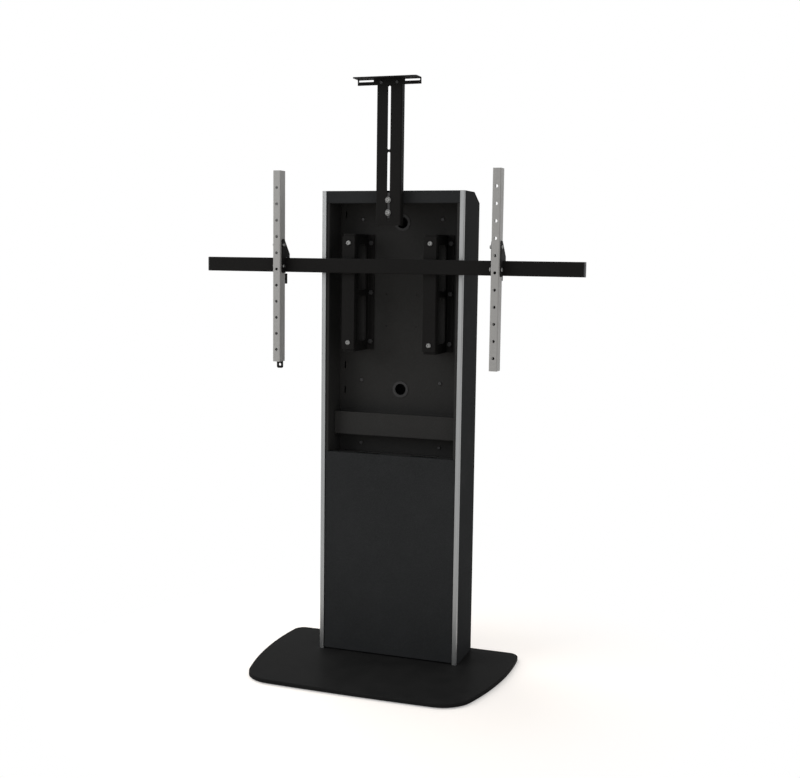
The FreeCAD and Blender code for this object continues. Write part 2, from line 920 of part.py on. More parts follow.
def display_rail():
    """Long box tube that the arms hang on."""
    half = rail_length / 2
    return tube((rail_front, rail_rear), (rail_bottom, rail_top), rail_wall, rail_corner, "x", -half, half)


def rail_end_cap(side):
    """Plastic cap with a plug inside the rail's end."""
    end = rail_length / 2
    cap = plate((rail_front, rail_rear), (rail_bottom, rail_top), rail_corner, "x", end, end + end_cap)
    inset = rail_wall + fit_gap
    across = (rail_front + inset, rail_rear - inset)
    tall = (rail_bottom + inset, rail_top - inset)
    plug = plate(across, tall, rail_corner - rail_wall, "x", end - end_plug, end)
    return sided(cap.fuse(plug).removeSplitter(), side)


def rail_strap(side):
    """Flat bar behind the rail, bolted to the carrier."""
    half = strap_width / 2
    across = (upright_spread - half, upright_spread + half)
    body = plate(across, (strap_bottom, strap_top), strap_corner, "y", rail_rear, strap_rear)
    spots = [(upright_spread, z) for z in rail_bolt_heights()]
    body = drilled(body, "y", rail_rear - overrun, strap_rear + overrun, spots, rail_bolt_radius + fit_gap)
    return sided(body, side)


def rail_carrier(side):
    """Channel that brings the rail forward, with two windows in each cheek."""
    half = strap_width / 2
    left = upright_spread - half
    right = upright_spread + half
    seat = bay_back - carrier_sheet
    path = [
        (left - carrier_flange, seat),
        (left, seat),
        (left, strap_rear),
        (right, strap_rear),
        (right, seat),
        (right + carrier_flange, seat),
    ]
    body = bent_sheet(path, 1, carrier_sheet, carrier_bend, "z", carrier_bottom, carrier_top)
    middle = (carrier_bottom + carrier_top) / 2
    deep = (strap_rear + carrier_window_side, seat - carrier_window_side)
    rib = carrier_window_side / 2
    levels = (
        (carrier_bottom + carrier_window_end, middle - rib),
        (middle + rib, carrier_top - carrier_window_end),
    )
    for tall in levels:
        window = plate(deep, tall, carrier_window_corner, "x", left - overrun, right + overrun)
        body = body.cut(window)
    spots = [(upright_spread, z) for z in rail_bolt_heights()]
    web_rear = strap_rear + carrier_sheet
    body = drilled(body, "y", strap_rear - overrun, web_rear + overrun, spots, rail_bolt_radius + fit_gap)
    hole = carrier_bolt_radius + fit_gap
    body = drilled(body, "y", seat - overrun, bay_back + overrun, carrier_bolt_spots(), hole)
    return sided(body, side)


def rail_bolts():
    """Bright bolts through the straps and carriers, with nuts behind."""
    grip = strap_thickness + carrier_sheet + rail_bolt_radius * nut_height_share
    pieces = []
    for x, z in both_sides((upright_spread,), rail_bolt_heights()):
        pieces.append(button_bolt(FreeCAD.Vector(x, rail_rear, z), axis_y, rail_bolt_radius, grip))
        pieces.append(nut(FreeCAD.Vector(x, strap_rear + carrier_sheet, z), axis_y, rail_bolt_radius))
    return pieces


def carrier_bolts():
    """Bolts from the carrier flanges through to the uprights."""
    seat = bay_back - carrier_sheet
    grip = upright_front + upright_wall - seat
    spots = carrier_bolt_spots()
    spots += [(-x, z) for x, z in spots]
    return [hex_bolt(FreeCAD.Vector(x, seat, z), axis_y, carrier_bolt_radius, grip) for x, z in spots]


# Display arms
def hook_bolt_spots():
    """Side view positions of the bolts that join hooks and arm."""
    return [(arm_front + hook_bolt_setback + hook_bolt_radius, z) for z in hook_bolt_heights]


def display_arm(side):
    """Upright channel with a row of display holes in its front."""
    middle = arm_spacing / 2
    half = arm_width / 2
    path = [
        (middle - half, arm_rear),
        (middle - half, arm_front),
        (middle + half, arm_front),
        (middle + half, arm_rear),
    ]
    body = bent_sheet(path, 1, arm_wall, arm_bend, "z", arm_bottom, arm_top)
    steps = range(-display_hole_steps, display_hole_steps + 1)
    spots = [(middle, display_height + step * display_hole_pitch) for step in steps]
    start = arm_front - overrun
    body = drilled(body, "y", start, arm_front + arm_wall + overrun, spots, display_hole_radius)
    span = (middle - half - overrun, middle + half + overrun)
    body = drilled(body, "x", span[0], span[1], hook_bolt_spots(), hook_bolt_radius + fit_gap)
    return sided(body, side)


def arm_hooks(side):
    """Two cheek plates that hook the arm over the rail."""
    front = arm_front + hook_front
    rear_inside = rail_rear + hook_rear_gap
    rear = rear_inside + hook_leg
    rest = rail_top + slide_gap
    corners = [
        (front, hook_bottom),
        (arm_rear, hook_bottom),
        (arm_rear, rest),
        (rear_inside, rest),
        (rear_inside, hook_leg_bottom),
        (rear, hook_leg_bottom),
        (rear, rest + hook_nose_rise),
        (front + hook_shoulder, hook_top),
        (front, hook_top),
    ]
    outer = hook_front_corner
    small = hook_corner / 2
    radii = [outer, small, small, small, small, small, hook_corner, hook_corner, outer]
    half = arm_width / 2
    hole = hook_bolt_radius + fit_gap
    plates = []
    for direction in (-1, 1):
        ends = sorted((direction * half, direction * (half + hook_thickness)))
        start = arm_spacing / 2 + ends[0]
        end = arm_spacing / 2 + ends[1]
        cheek = prism(corners, radii, "x", start, end)
        cheek = drilled(cheek, "x", start - overrun, end + overrun, hook_bolt_spots(), hole)
        plates.append(sided(cheek, side))
    return plates


def hook_bolts(side):
    """Through bolts of the hook plates with their nuts."""
    outside = arm_spacing / 2 + arm_width / 2 + hook_thickness
    inside = arm_spacing / 2 - arm_width / 2 - hook_thickness
    grip = outside - inside + hook_bolt_radius * nut_height_share
    pieces = []
    for y, z in hook_bolt_spots():
        bolt = button_bolt(FreeCAD.Vector(outside, y, z), axis_x * -1, hook_bolt_radius, grip)
        end = nut(FreeCAD.Vector(inside, y, z), axis_x * -1, hook_bolt_radius)
        pieces += [sided(bolt, side), sided(end, side)]
    return pieces


def latch(side, drop):
    """Flat bar inside the arm with a finger behind the rail and a pull tab below."""
    middle = arm_spacing / 2
    rear = arm_rear - latch_setback + latch_thickness
    front = arm_rear - latch_setback
    bar_top = rail_bottom - latch_bar_gap
    bar_bottom = bar_top - latch_bar_height
    finger_front = rail_rear + latch_finger_gap
    finger_rear = finger_front + latch_finger
    tab_top = arm_bottom + latch_tab_height
    corners = [
        (front, tab_top - latch_tab_corner),
        (rear, tab_top - latch_tab_corner),
        (rear, bar_bottom),
        (finger_rear, bar_bottom),
        (finger_rear, rail_bottom + latch_finger_rise),
        (finger_front, rail_bottom + latch_finger_rise),
        (finger_front, bar_top),
        (front, bar_top),
    ]
    radii = [0, 0, latch_corner, latch_corner, latch_corner, latch_corner, latch_corner, latch_corner]
    half = latch_width / 2
    bar = prism(corners, radii, "x", middle - half, middle + half)
    tab_half = latch_tab_width / 2
    across = (middle - tab_half, middle + tab_half)
    tab = plate(across, (arm_bottom, tab_top), latch_tab_corner, "y", front, rear)
    hole = [(middle, arm_bottom + latch_hole_rise)]
    tab = drilled(tab, "y", front - overrun, rear + overrun, hole, latch_hole_radius)
    body = bar.fuse(tab).removeSplitter()
    body.translate(axis_z * -drop)
    return sided(body, side)


def latch_guides(side):
    """Plastic blocks in the arm that keep the latch bar straight."""
    middle = arm_spacing / 2
    half = arm_width / 2 - arm_wall
    deep = (arm_rear - guide_depth, arm_rear)
    way_half = latch_width / 2 + slide_gap
    way_front = arm_rear - latch_setback - slide_gap
    way_rear = arm_rear - latch_setback + latch_thickness + slide_gap
    blocks = []
    for level in guide_levels:
        block = box((middle - half, middle + half), deep, (level, level + guide_height))
        way = box(
            (middle - way_half, middle + way_half),
            (way_front, way_rear),
            (level - overrun, level + guide_height + overrun),
        )
        blocks.append(sided(block.cut(way), side))
    return blocks


# Camera mast
def guide_screw_spots():
    """Front view positions of the screws behind the header."""
    return both_sides((guide_screw_spread,), (column_top - guide_screw_drop,))


def camera_mast():
    """Slotted channel that carries the camera shelf."""
    half = mast_width / 2
    rear = mast_front + mast_channel_depth
    path = [(-half, rear), (-half, mast_front), (half, mast_front), (half, rear)]
    body = bent_sheet(path, 1, mast_sheet, bend, "z", mast_bottom, mast_top)
    start = mast_front - overrun
    end = mast_web_rear + overrun
    upper_start = mast_bridge_bottom + mast_bridge
    for low, high in ((mast_slot_bottom, mast_bridge_bottom), (upper_start, mast_slot_top)):
        centre = (0, (low + high) / 2)
        body = body.cut(slot("y", start, end, centre, high - low, mast_slot_width, upright=True))
    return drilled(body, "y", start, end, shelf_screw_spots(), shelf_screw_radius + fit_gap)


def mast_guide():
    """Block inside the mast channel, fixed to the header."""
    half = mast_width / 2 - mast_sheet - slide_gap
    front = mast_web_rear + slide_gap
    tall = (lower_mast_bolt - guide_block_below, upper_mast_bolt + guide_block_above)
    corners = [(-half, front), (half, front), (half, panel_face), (-half, panel_face)]
    radii = [guide_block_edge, guide_block_edge, 0, 0]
    body = prism(corners, radii, "z", tall[0], tall[1])
    bolts = [(0, lower_mast_bolt), (0, upper_mast_bolt)]
    body = drilled(body, "y", front - overrun, panel_face + overrun, bolts, mast_bolt_radius + fit_gap)
    start = panel_face + sheet - guide_screw_grip
    hole = guide_screw_radius + fit_gap
    return drilled(body, "y", start, panel_face + overrun, guide_screw_spots(), hole)


def mast_bolts():
    """Bolts with washers that clamp the mast to its guide."""
    face = mast_front - slide_gap
    pieces = []
    for z in (lower_mast_bolt, upper_mast_bolt):
        seat = face - washer_thickness
        grip = panel_face - seat
        washer = rod("y", seat, face, 0, z, washer_radius)
        bolt = button_bolt(FreeCAD.Vector(0, seat, z), axis_y, mast_bolt_radius, grip)
        pieces.append(bolt.fuse(washer).removeSplitter())
    return pieces


def guide_screws():
    """Screws from behind the header into the guide block."""
    seat = panel_face + sheet
    back = axis_y * -1
    return [
        button_bolt(FreeCAD.Vector(x, seat, z), back, guide_screw_radius, guide_screw_grip)
        for x, z in guide_screw_spots()
    ]


def shelf_screw_spots():
    """Front view positions of the screws that hold the shelf to the mast."""
    return both_sides((shelf_screw_spread,), (mast_top - shelf_screw_drop,))


def camera_shelf():
    """Folded shelf with a camera hole and two strap slots in its flange."""
    half = shelf_width / 2
    front = mast_front - shelf_depth
    top = mast_top + shelf_sheet
    path = [(front, top), (mast_front, top), (mast_front, mast_top - shelf_flange)]
    body = bent_sheet(path, -1, shelf_sheet, bend, "x", -half, half)
    rim = [
        edge for edge in body.Edges
        if edge.BoundBox.YMax < front + fit_gap and edge.BoundBox.XLength < fit_gap
    ]
    body = body.makeFillet(shelf_corner, rim)
    start = mast_front - shelf_sheet - overrun
    end = mast_front + overrun
    slot_top = mast_top - bend
    tall = (slot_top - shelf_slot_height, slot_top)
    for side in (-1, 1):
        outer = half - shelf_slot_side
        across = sorted((side * outer, side * (outer - shelf_slot_length)))
        body = body.cut(plate(across, tall, shelf_slot_corner, "y", start, end))
    body = drilled(body, "y", start, end, shelf_screw_spots(), shelf_screw_radius + fit_gap)
    hole = [(0, front + camera_hole_setback)]
    return drilled(body, "z", mast_top - overrun, top + overrun, hole, camera_hole_radius)


def shelf_screws():
    """Screws and nuts that hold the shelf to the mast."""
    seat = mast_front - shelf_sheet
    grip = shelf_sheet + mast_sheet + shelf_screw_radius * nut_height_share
    pieces = []
    for x, z in shelf_screw_spots():
        pieces.append(button_bolt(FreeCAD.Vector(x, seat, z), axis_y, shelf_screw_radius, grip))
        pieces.append(nut(FreeCAD.Vector(x, mast_web_rear, z), axis_y, shelf_screw_radius))
    return pieces


# Front panel
def stud_heights():
    """Heights of the studs that the front panel hangs on."""
    return (panel_bottom + stud_end_distance, bay_sill_height - stud_end_distance)


def front_panel():
    """Lift-off panel with returns on all four sides and open slots for the studs."""
    path = [
        (-panel_half, panel_rear),
        (-panel_half, panel_face),
        (panel_half, panel_face),
        (panel_half, panel_rear),
    ]
    body = bent_sheet(path, 1, sheet, bend, "z", panel_bottom, bay_sill_height)
    room = bay_sill_height - panel_lift_room
    behind = (panel_face + sheet, panel_rear + overrun)
    body = body.cut(box((-half_width, half_width), behind, (room, bay_sill_height + overrun)))
    deep = (panel_face + sheet, panel_rear)
    top_half = bay_half - panel_top_side_gap
    top = box((-top_half, top_half), deep, (bay_sill_height - sheet, bay_sill_height))
    low_half = panel_half - sheet
    low = box((-low_half, low_half), deep, (panel_bottom, panel_bottom + sheet))
    body = body.fuse([top, low]).removeSplitter()
    radius = stud_radius + stud_slot_gap
    for z in stud_heights():
        drop = z - panel_lift
        start = -panel_half - overrun
        end = panel_half + overrun
        centre = (stud_y, z - panel_lift / 2)
        body = body.cut(slot("x", start, end, centre, panel_lift + 2 * radius, 2 * radius, upright=True))
        body = body.cut(box((start, end), (stud_y, panel_rear + overrun), (drop - radius, drop + radius)))
    return body


def panel_studs():
    """Headed studs on the side panels' lips."""
    pieces = []
    inner = trim_inner - stud_length
    for z in stud_heights():
        shank = rod("x", inner, trim_inner, stud_y, z, stud_radius)
        head = rod("x", inner, inner + stud_head, stud_y, z, stud_head_radius)
        stud = shank.fuse(head).removeSplitter()
        pieces += [stud, mirrored(stud)]
    return pieces


# Rear door
def rear_door():
    """Sheet door over the back with vents, a cable outlet and holes for its pins and lock."""
    deep = (door_front, column_rear)
    corners = [
        (-door_half, deep[0]),
        (door_half, deep[0]),
        (door_half, deep[1]),
        (-door_half, deep[1]),
    ]
    body = prism(corners, [0, 0, door_corner, door_corner], "z", door_bottom, door_top)
    inner = door_half - door_sheet
    corners = [
        (-inner, deep[0] - overrun),
        (inner, deep[0] - overrun),
        (inner, deep[1] - door_sheet),
        (-inner, deep[1] - door_sheet),
    ]
    small = door_corner - door_sheet
    tall = (door_bottom + door_sheet, door_top - door_sheet)
    body = body.cut(prism(corners, [0, 0, small, small], "z", tall[0], tall[1]))
    pins = [(hinge_x, hinge_y)]
    body = drilled(body, "z", door_bottom - overrun, door_top + overrun, pins, pin_radius + fit_gap)
    start = deep[1] - door_sheet - overrun
    end = deep[1] + overrun
    body = drilled(body, "y", start, end, [(lock_x, lock_height)], lock_body_radius + fit_gap)
    half = outlet_width / 2
    outlet = plate(
        (-half, half),
        (door_bottom - outlet_corner, door_bottom + outlet_height),
        outlet_corner, "y", deep[0] - overrun, end,
    )
    body = body.cut(outlet)
    for level in vent_heights:
        for row in range(vent_rows):
            for side in (-1, 1):
                centre = (side * vent_spread, level + row * vent_pitch)
                body = body.cut(slot("y", start, end, centre, vent_length, vent_width))
    return body


def door_bracket(low, tab_low, pin_low, pin_high):
    """Hinge bracket on the left side panel with its pin."""
    rear = column_rear - bracket_rear_gap
    jamb_front = column_rear - jamb_depth - slide_gap
    front = column_rear - bracket_front
    corners = [
        (-inner_half, front),
        (hinge_x + bracket_side, front),
        (hinge_x + bracket_side, rear),
        (-bay_half + slide_gap, rear),
        (-bay_half + slide_gap, jamb_front),
        (-inner_half, jamb_front),
    ]
    radii = [0, bracket_corner, bracket_corner, 0, 0, 0]
    arm = prism(corners, radii, "z", low, low + bracket_sheet)
    tab = box(
        (-inner_half, -inner_half + bracket_sheet),
        (front, front + bracket_depth),
        (tab_low, tab_low + bracket_tab),
    )
    pin = rod("z", pin_low, pin_high, hinge_x, hinge_y, pin_radius)
    return arm.fuse([tab, pin]).removeSplitter()


def door_brackets():
    """Lower and upper hinge brackets."""
    low = door_bottom - pin_rest_gap - bracket_sheet
    high = door_top + pin_rest_gap
    return [
        door_bracket(low, low, low, door_bottom + pin_reach),
        door_bracket(high, high + bracket_sheet - bracket_tab, door_top - pin_reach, high + bracket_sheet),
    ]


def lock_cylinder():
    """Lock housing in the door with its flange and nut."""
    inside = column_rear - lock_body_length
    body = rod("y", inside, column_rear, lock_x, lock_height, lock_body_radius)
    flange = rod("y", column_rear, column_rear + lock_flange, lock_x, lock_height, lock_flange_radius)
    hole = lock_core_radius + fit_gap
    bore = rod("y", inside - overrun, column_rear + overrun, lock_x, lock_height, hole)
    seat = FreeCAD.Vector(lock_x, column_rear - door_sheet, lock_height)
    ring = placed(hexagon(lock_nut_flats, lock_nut), seat, axis_y * -1)
    return body.fuse([flange, ring]).cut(bore).removeSplitter()


def lock_cam():
    """Turning core of the lock with its cam, pointing up when unlocked."""
    inner = column_rear - lock_body_length - slide_gap
    core = rod("y", inner, column_rear + lock_flange, lock_x, lock_height, lock_core_radius)
    boss = rod("y", inner - cam_thickness, inner, lock_x, lock_height, cam_boss_radius)
    half = cam_width / 2
    arm = plate(
        (lock_x - half, lock_x + half),
        (lock_height, lock_height + cam_reach),
        cam_end_radius, "y", inner - cam_thickness, inner,
    )
    body = core.fuse([boss, arm]).removeSplitter()
    face = column_rear + lock_flange
    spots = (lock_x, lock_height)
    start = face - key_slot_depth
    return body.cut(slot("y", start, face + overrun, spots, key_slot_length, key_slot_width, upright=True))


# All named pieces
def all_pieces():
    """Every piece of the stand by name."""
    pieces = {
        "base_plate": base_plate(),
        "base_pads": base_pads(),
        "column_foot": column_foot(),
        "foot_bolts": foot_bolts(),
        "top_cap": top_cap(),
        "bay_back_plate": bay_back_plate(),
        "bay_floor": bay_floor(),
        "equipment_tray": equipment_tray(),
        "tray_screws": wall_screws(tray_screw_spots(), bay_back - sheet, tray_screw_radius),
        "back_plate_screws": wall_screws(plate_screw_spots(), bay_back, plate_screw_radius),
        "cable_grommets": [cable_grommet(x, z) for x, z in grommet_spots()],
        "display_rail": display_rail(),
        "rail_end_caps": [rail_end_cap(side) for side in (-1, 1)],
        "rail_bolts": rail_bolts(),
        "carrier_bolts": carrier_bolts(),
        "mast_guide": mast_guide(),
        "mast_bolts": mast_bolts(),
        "guide_screws": guide_screws(),
        "camera_mast": camera_mast(),
        "camera_shelf": camera_shelf(),
        "shelf_screws": shelf_screws(),
        "front_panel": front_panel(),
        "panel_studs": panel_studs(),
        "rear_door": rear_door(),
        "door_brackets": door_brackets(),
        "lock_cylinder": lock_cylinder(),
        "lock_cam": lock_cam(),
    }
    for name, side, drop in (("left", -1, latch_travel), ("right", 1, 0)):
        pieces[name + "_upright"] = upright(side)
        pieces[name + "_side_panel"] = side_panel(side)
        pieces[name + "_front_trim"] = front_trim(side)
        pieces[name + "_bay_side"] = bay_side(side)
        pieces[name + "_rail_strap"] = rail_strap(side)
        pieces[name + "_rail_carrier"] = rail_carrier(side)
        pieces[name + "_arm"] = display_arm(side)
        pieces[name + "_arm_hooks"] = arm_hooks(side)
        pieces[name + "_hook_bolts"] = hook_bolts(side)
        pieces[name + "_latch"] = latch(side, drop)
        pieces[name + "_latch_guides"] = latch_guides(side)
    return pieces


os.makedirs("parts", exist_ok=True)
for name, shape in all_pieces().items():
    whole = Part.makeCompound(shape) if isinstance(shape, list) else shape
    whole.exportStep("parts/" + name + ".step")
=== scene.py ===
import json
import math

import bmesh
import bpy
from mathutils import Matrix, Vector


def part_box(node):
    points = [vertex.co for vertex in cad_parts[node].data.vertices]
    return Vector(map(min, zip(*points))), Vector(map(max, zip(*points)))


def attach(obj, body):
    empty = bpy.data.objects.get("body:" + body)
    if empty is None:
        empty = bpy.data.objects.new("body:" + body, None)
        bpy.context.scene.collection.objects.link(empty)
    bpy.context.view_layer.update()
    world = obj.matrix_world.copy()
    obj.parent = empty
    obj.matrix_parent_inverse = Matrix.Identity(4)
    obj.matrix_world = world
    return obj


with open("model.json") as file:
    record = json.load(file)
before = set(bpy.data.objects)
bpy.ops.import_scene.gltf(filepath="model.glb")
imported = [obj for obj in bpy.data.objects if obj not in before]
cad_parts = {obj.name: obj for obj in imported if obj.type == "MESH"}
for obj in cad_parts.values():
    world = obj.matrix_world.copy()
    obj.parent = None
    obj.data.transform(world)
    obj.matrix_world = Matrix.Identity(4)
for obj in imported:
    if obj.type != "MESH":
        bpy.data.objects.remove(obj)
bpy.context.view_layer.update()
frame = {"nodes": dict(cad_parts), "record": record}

# The photo's frame and the camera fitted to it: pixels, metres and degrees, the sensor in mm
photo_width = 800
sensor_width = 36.0
focal_pixels = 1204.2
camera_place = Vector((1.2789, -3.4076, 1.2825))
camera_azimuth = 19.666
camera_pitch = 6.322
camera_roll = 0.758
camera_reach = 60.0

# The world's strength, and the lamps' watts, widths and places in metres
world_light = 0.62
key_power = 99.0
key_size = 3.4
key_place = (-3.2, -2.6, 2.8)
fill_power = 5.0
fill_size = 2.6
fill_place = (3.2, -2.6, 1.8)
rear_power = 44.0
rear_size = 1.8
rear_place = (-1.5, 1.3, 3.9)
light_target = (0.0, 0.0, 1.0)

# The floor's width in metres, its finish, and the distances where its shadow fades to white
floor_size = 30.0
floor_colour = (0.84, 0.79, 0.74)
floor_roughness = 0.9
floor_gloss = 0.1
floor_lift = 0.34
shadow_reach = 0.55
floor_white_from = 1.05

# Colour of the background and of the far floor
white = (1.0, 1.0, 1.0, 1.0)

# Edges: samples of the rounded normal, and its product with the face's own where the edge mask is
# full and where it is zero; most finishes use the mask for wear and a painted edge highlight
edge_samples = 4
edge_full_turn = 0.80
edge_none_turn = 0.995

# Dust on faces that look up: its colour, its cover, and the normal's height where it starts
dust_colour = (0.060, 0.058, 0.055)
dust_thin = 0.02
dust_thick = 0.10
dust_starts = 0.75
dust_full = 0.98

# Powder coat: how many times per metre each texture repeats, and heights of bumps in metres
coat_cloud_scale = 2.3
coat_patch_scale = 15.0
coat_mottle_scale = 850.0
coat_peel_scale = 520.0
coat_speck_scale = 1900.0
coat_peel_height = 0.00030
coat_speck_height = 0.00010

# Powder coat: the share that clouds change its tone by, and how much more the others do
coat_contrast = 0.14
coat_rubbed_gain = 2
coat_grain_gain = 6
coat_pit_gain = 3
coat_edge_gain = 20

# Metals and plastics: textures per metre, and heights of bumps in metres
line_stretch = (900.0, 900.0, 5.0)
line_height = 0.00008
metal_cloud_scale = 3.4
ring_scale = 420.0
ring_wobble = 1.5
ring_height = 0.00006
ring_patch_scale = 160.0
plastic_cloud_scale = 30.0
plating_height = 0.00005

# Weld beads: lengths in metres, and shares of the leg
weld_leg = 0.0045
weld_end_gap = 0.003
weld_root = 0.001
weld_ripple = 0.0019
weld_ripple_share = 0.07
weld_hollow_share = 0.18
weld_end_share = 0.15
weld_taper_rate = 6.0
weld_steps = 60
weld_arc_points = 7


# Materials
def new_material(name):
    """Empty node material with one Principled shader."""
    material = bpy.data.materials.new(name)
    material.use_nodes = True
    tree = material.node_tree
    tree.nodes.clear()
    output = tree.nodes.new("ShaderNodeOutputMaterial")
    shader = tree.nodes.new("ShaderNodeBsdfPrincipled")
    tree.links.new(shader.outputs["BSDF"], output.inputs["Surface"])
    return material, tree, shader


def texture_space(tree, stretch=(1.0, 1.0, 1.0), centre=(0.0, 0.0, 0.0)):
    """Object coordinates measured from a centre, stretched by three factors."""
    coordinates = tree.nodes.new("ShaderNodeTexCoord")
    mapping = tree.nodes.new("ShaderNodeMapping")
    mapping.inputs["Location"].default_value = tuple(-value for value in centre)
    mapping.inputs["Scale"].default_value = stretch
    tree.links.new(coordinates.outputs["Object"], mapping.inputs["Vector"])
    return mapping.outputs["Vector"]


def noise(tree, space, scale, detail=2.0, roughness=0.5):
    """Noise value between 0 and 1."""
    texture = tree.nodes.new("ShaderNodeTexNoise")
    texture.inputs["Scale"].default_value = scale
    texture.inputs["Detail"].default_value = detail
    texture.inputs["Roughness"].default_value = roughness
    tree.links.new(space, texture.inputs["Vector"])
    return texture.outputs["Fac"]


def ranged(tree, value, low, high, start=0.3, end=0.7):
    """Map a value from start..end to low..high."""
    node = tree.nodes.new("ShaderNodeMapRange")
    node.inputs["From Min"].default_value = start
    node.inputs["From Max"].default_value = end
    node.inputs["To Min"].default_value = low
    node.inputs["To Max"].default_value = high
    tree.links.new(value, node.inputs["Value"])
    return node.outputs["Result"]


def calculated(tree, operation, first, second):
    """Result of a calculation with two varying values."""
    node = tree.nodes.new("ShaderNodeMath")
    node.operation = operation
    tree.links.new(first, node.inputs[0])
    tree.links.new(second, node.inputs[1])
    return node.outputs["Value"]


def shaded(colour, factor):
    """Colour made lighter or darker by a factor."""
    return tuple(channel * factor for channel in colour)


def blended(tree, factor, first, second):
    """Mix two colours, each a triple or a node output."""
    node = tree.nodes.new("ShaderNodeMix")
    node.data_type = "RGBA"
    tree.links.new(factor, node.inputs["Factor"])
    for socket, colour in (("A", first), ("B", second)):
        target = [s for s in node.inputs if s.name == socket and s.type == "RGBA"][0]
        if isinstance(colour, tuple):
            target.default_value = (*colour, 1.0)
        else:
            tree.links.new(colour, target)
    return [s for s in node.outputs if s.type == "RGBA"][0]


def bump(tree, height, strength, distance, before):
    """Bump normal from a height value, on top of another normal."""
    node = tree.nodes.new("ShaderNodeBump")
    node.inputs["Strength"].default_value = strength
    node.inputs["Distance"].default_value = distance
    tree.links.new(height, node.inputs["Height"])
    tree.links.new(before, node.inputs["Normal"])
    return node.outputs["Normal"]


def rounded_normal(tree, radius):
    """Normal of the surface with its edges rounded by a radius."""
    node = tree.nodes.new("ShaderNodeBevel")
    node.samples = edge_samples
    node.inputs["Radius"].default_value = radius
    return node.outputs["Normal"]


def edge_mask(tree, rounded):
    """0 on flat faces, rising to 1 on edges, found by their rounded normal."""
    geometry = tree.nodes.new("ShaderNodeNewGeometry")
    compare = tree.nodes.new("ShaderNodeVectorMath")
    compare.operation = "DOT_PRODUCT"
    tree.links.new(rounded, compare.inputs[0])
    tree.links.new(geometry.outputs["Normal"], compare.inputs[1])
    turn = compare.outputs["Value"]
    return ranged(tree, turn, low=1.0, high=0.0, start=edge_full_turn, end=edge_none_turn)


def upward(tree):
    """1 on faces that look up, 0 on the others."""
    geometry = tree.nodes.new("ShaderNodeNewGeometry")
    parts = tree.nodes.new("ShaderNodeSeparateXYZ")
    tree.links.new(geometry.outputs["Normal"], parts.inputs["Vector"])
    return ranged(tree, parts.outputs["Z"], low=0.0, high=1.0, start=dust_starts, end=dust_full)


def finish_shader(tree, shader, tone, roughness, normal):
    """Give the shader its varying colour, roughness and normal."""
    tree.links.new(tone, shader.inputs["Base Color"])
    tree.links.new(roughness, shader.inputs["Roughness"])
    tree.links.new(normal, shader.inputs["Normal"])


def powder_coat(name, colour, roughness, gloss, contrast=1.0, edge=0.0016):
    """Powder coat: grain, slow tone changes, rubbed patches, dust on top, thin worn paint on edges
    lightened further by a painted highlight.
    """
    material, tree, shader = new_material(name)
    space = texture_space(tree)
    clouds = noise(tree, space, coat_cloud_scale, detail=4.0, roughness=0.55)
    patches = noise(tree, space, coat_patch_scale, detail=6.0, roughness=0.62)
    mottle = noise(tree, space, coat_mottle_scale)
    peel = noise(tree, space, coat_peel_scale)
    specks = noise(tree, space, coat_speck_scale, detail=1.0)
    rounded = rounded_normal(tree, edge)
    worn_and_highlit = calculated(
        tree, "MULTIPLY", edge_mask(tree, rounded), ranged(tree, patches, low=0.35, high=1.0))
    dust = calculated(
        tree, "MULTIPLY", upward(tree), ranged(tree, patches, low=dust_thin, high=dust_thick))
    light = coat_contrast * contrast
    tone = blended(
        tree, ranged(tree, clouds, low=0.0, high=1.0),
        shaded(colour, 1 - light), shaded(colour, 1 + light))
    rubbed = ranged(tree, patches, low=0.0, high=0.5, start=0.45, end=0.75)
    tone = blended(tree, rubbed, tone, shaded(colour, 1 + coat_rubbed_gain * light))
    grain = ranged(tree, mottle, low=0.0, high=0.6, start=0.48, end=0.70)
    tone = blended(tree, grain, tone, shaded(colour, 1 + coat_grain_gain * light))
    pits = ranged(tree, mottle, low=0.5, high=0.0, start=0.30, end=0.46)
    tone = blended(tree, pits, tone, shaded(colour, 1 - coat_pit_gain * light))
    # Edges lightened: partly thin and worn paint, partly a painted highlight along the edges
    edges = ranged(tree, worn_and_highlit, low=0.0, high=0.7, start=0.0, end=1.0)
    tone = blended(tree, edges, tone, shaded(colour, 1 + coat_edge_gain * light))
    tone = blended(tree, dust, tone, dust_colour)
    rough = ranged(tree, patches, low=roughness - 0.07, high=roughness + 0.06)
    normal = bump(tree, peel, strength=0.60, distance=coat_peel_height, before=rounded)
    normal = bump(tree, specks, strength=0.45, distance=coat_speck_height, before=normal)
    finish_shader(tree, shader, tone, rough, normal)
    shader.inputs["Specular IOR Level"].default_value = gloss
    return material


def drawn_metal(name, colour, roughness, edge=0.0006):
    """Bare metal with fine lines along its length, as drawn and anodised."""
    material, tree, shader = new_material(name)
    lines = noise(
        tree, texture_space(tree, line_stretch), scale=1.0, detail=4.0, roughness=0.65)
    clouds = noise(tree, texture_space(tree), metal_cloud_scale, detail=3.0)
    rounded = rounded_normal(tree, edge)
    tone = blended(
        tree, ranged(tree, lines, low=0.0, high=1.0), shaded(colour, 0.84), shaded(colour, 1.12))
    tone = blended(tree, ranged(tree, clouds, low=0.0, high=0.5), tone, shaded(colour, 0.88))
    # Edges painted lighter: a painted highlight along them, partly wear
    edges = ranged(tree, edge_mask(tree, rounded), low=0.0, high=0.4, start=0.0, end=1.0)
    tone = blended(tree, edges, tone, shaded(colour, 1.25))
    rough = ranged(tree, lines, low=roughness - 0.08, high=roughness + 0.08)
    normal = bump(tree, lines, strength=0.25, distance=line_height, before=rounded)
    finish_shader(tree, shader, tone, rough, normal)
    shader.inputs["Metallic"].default_value = 1.0
    return material


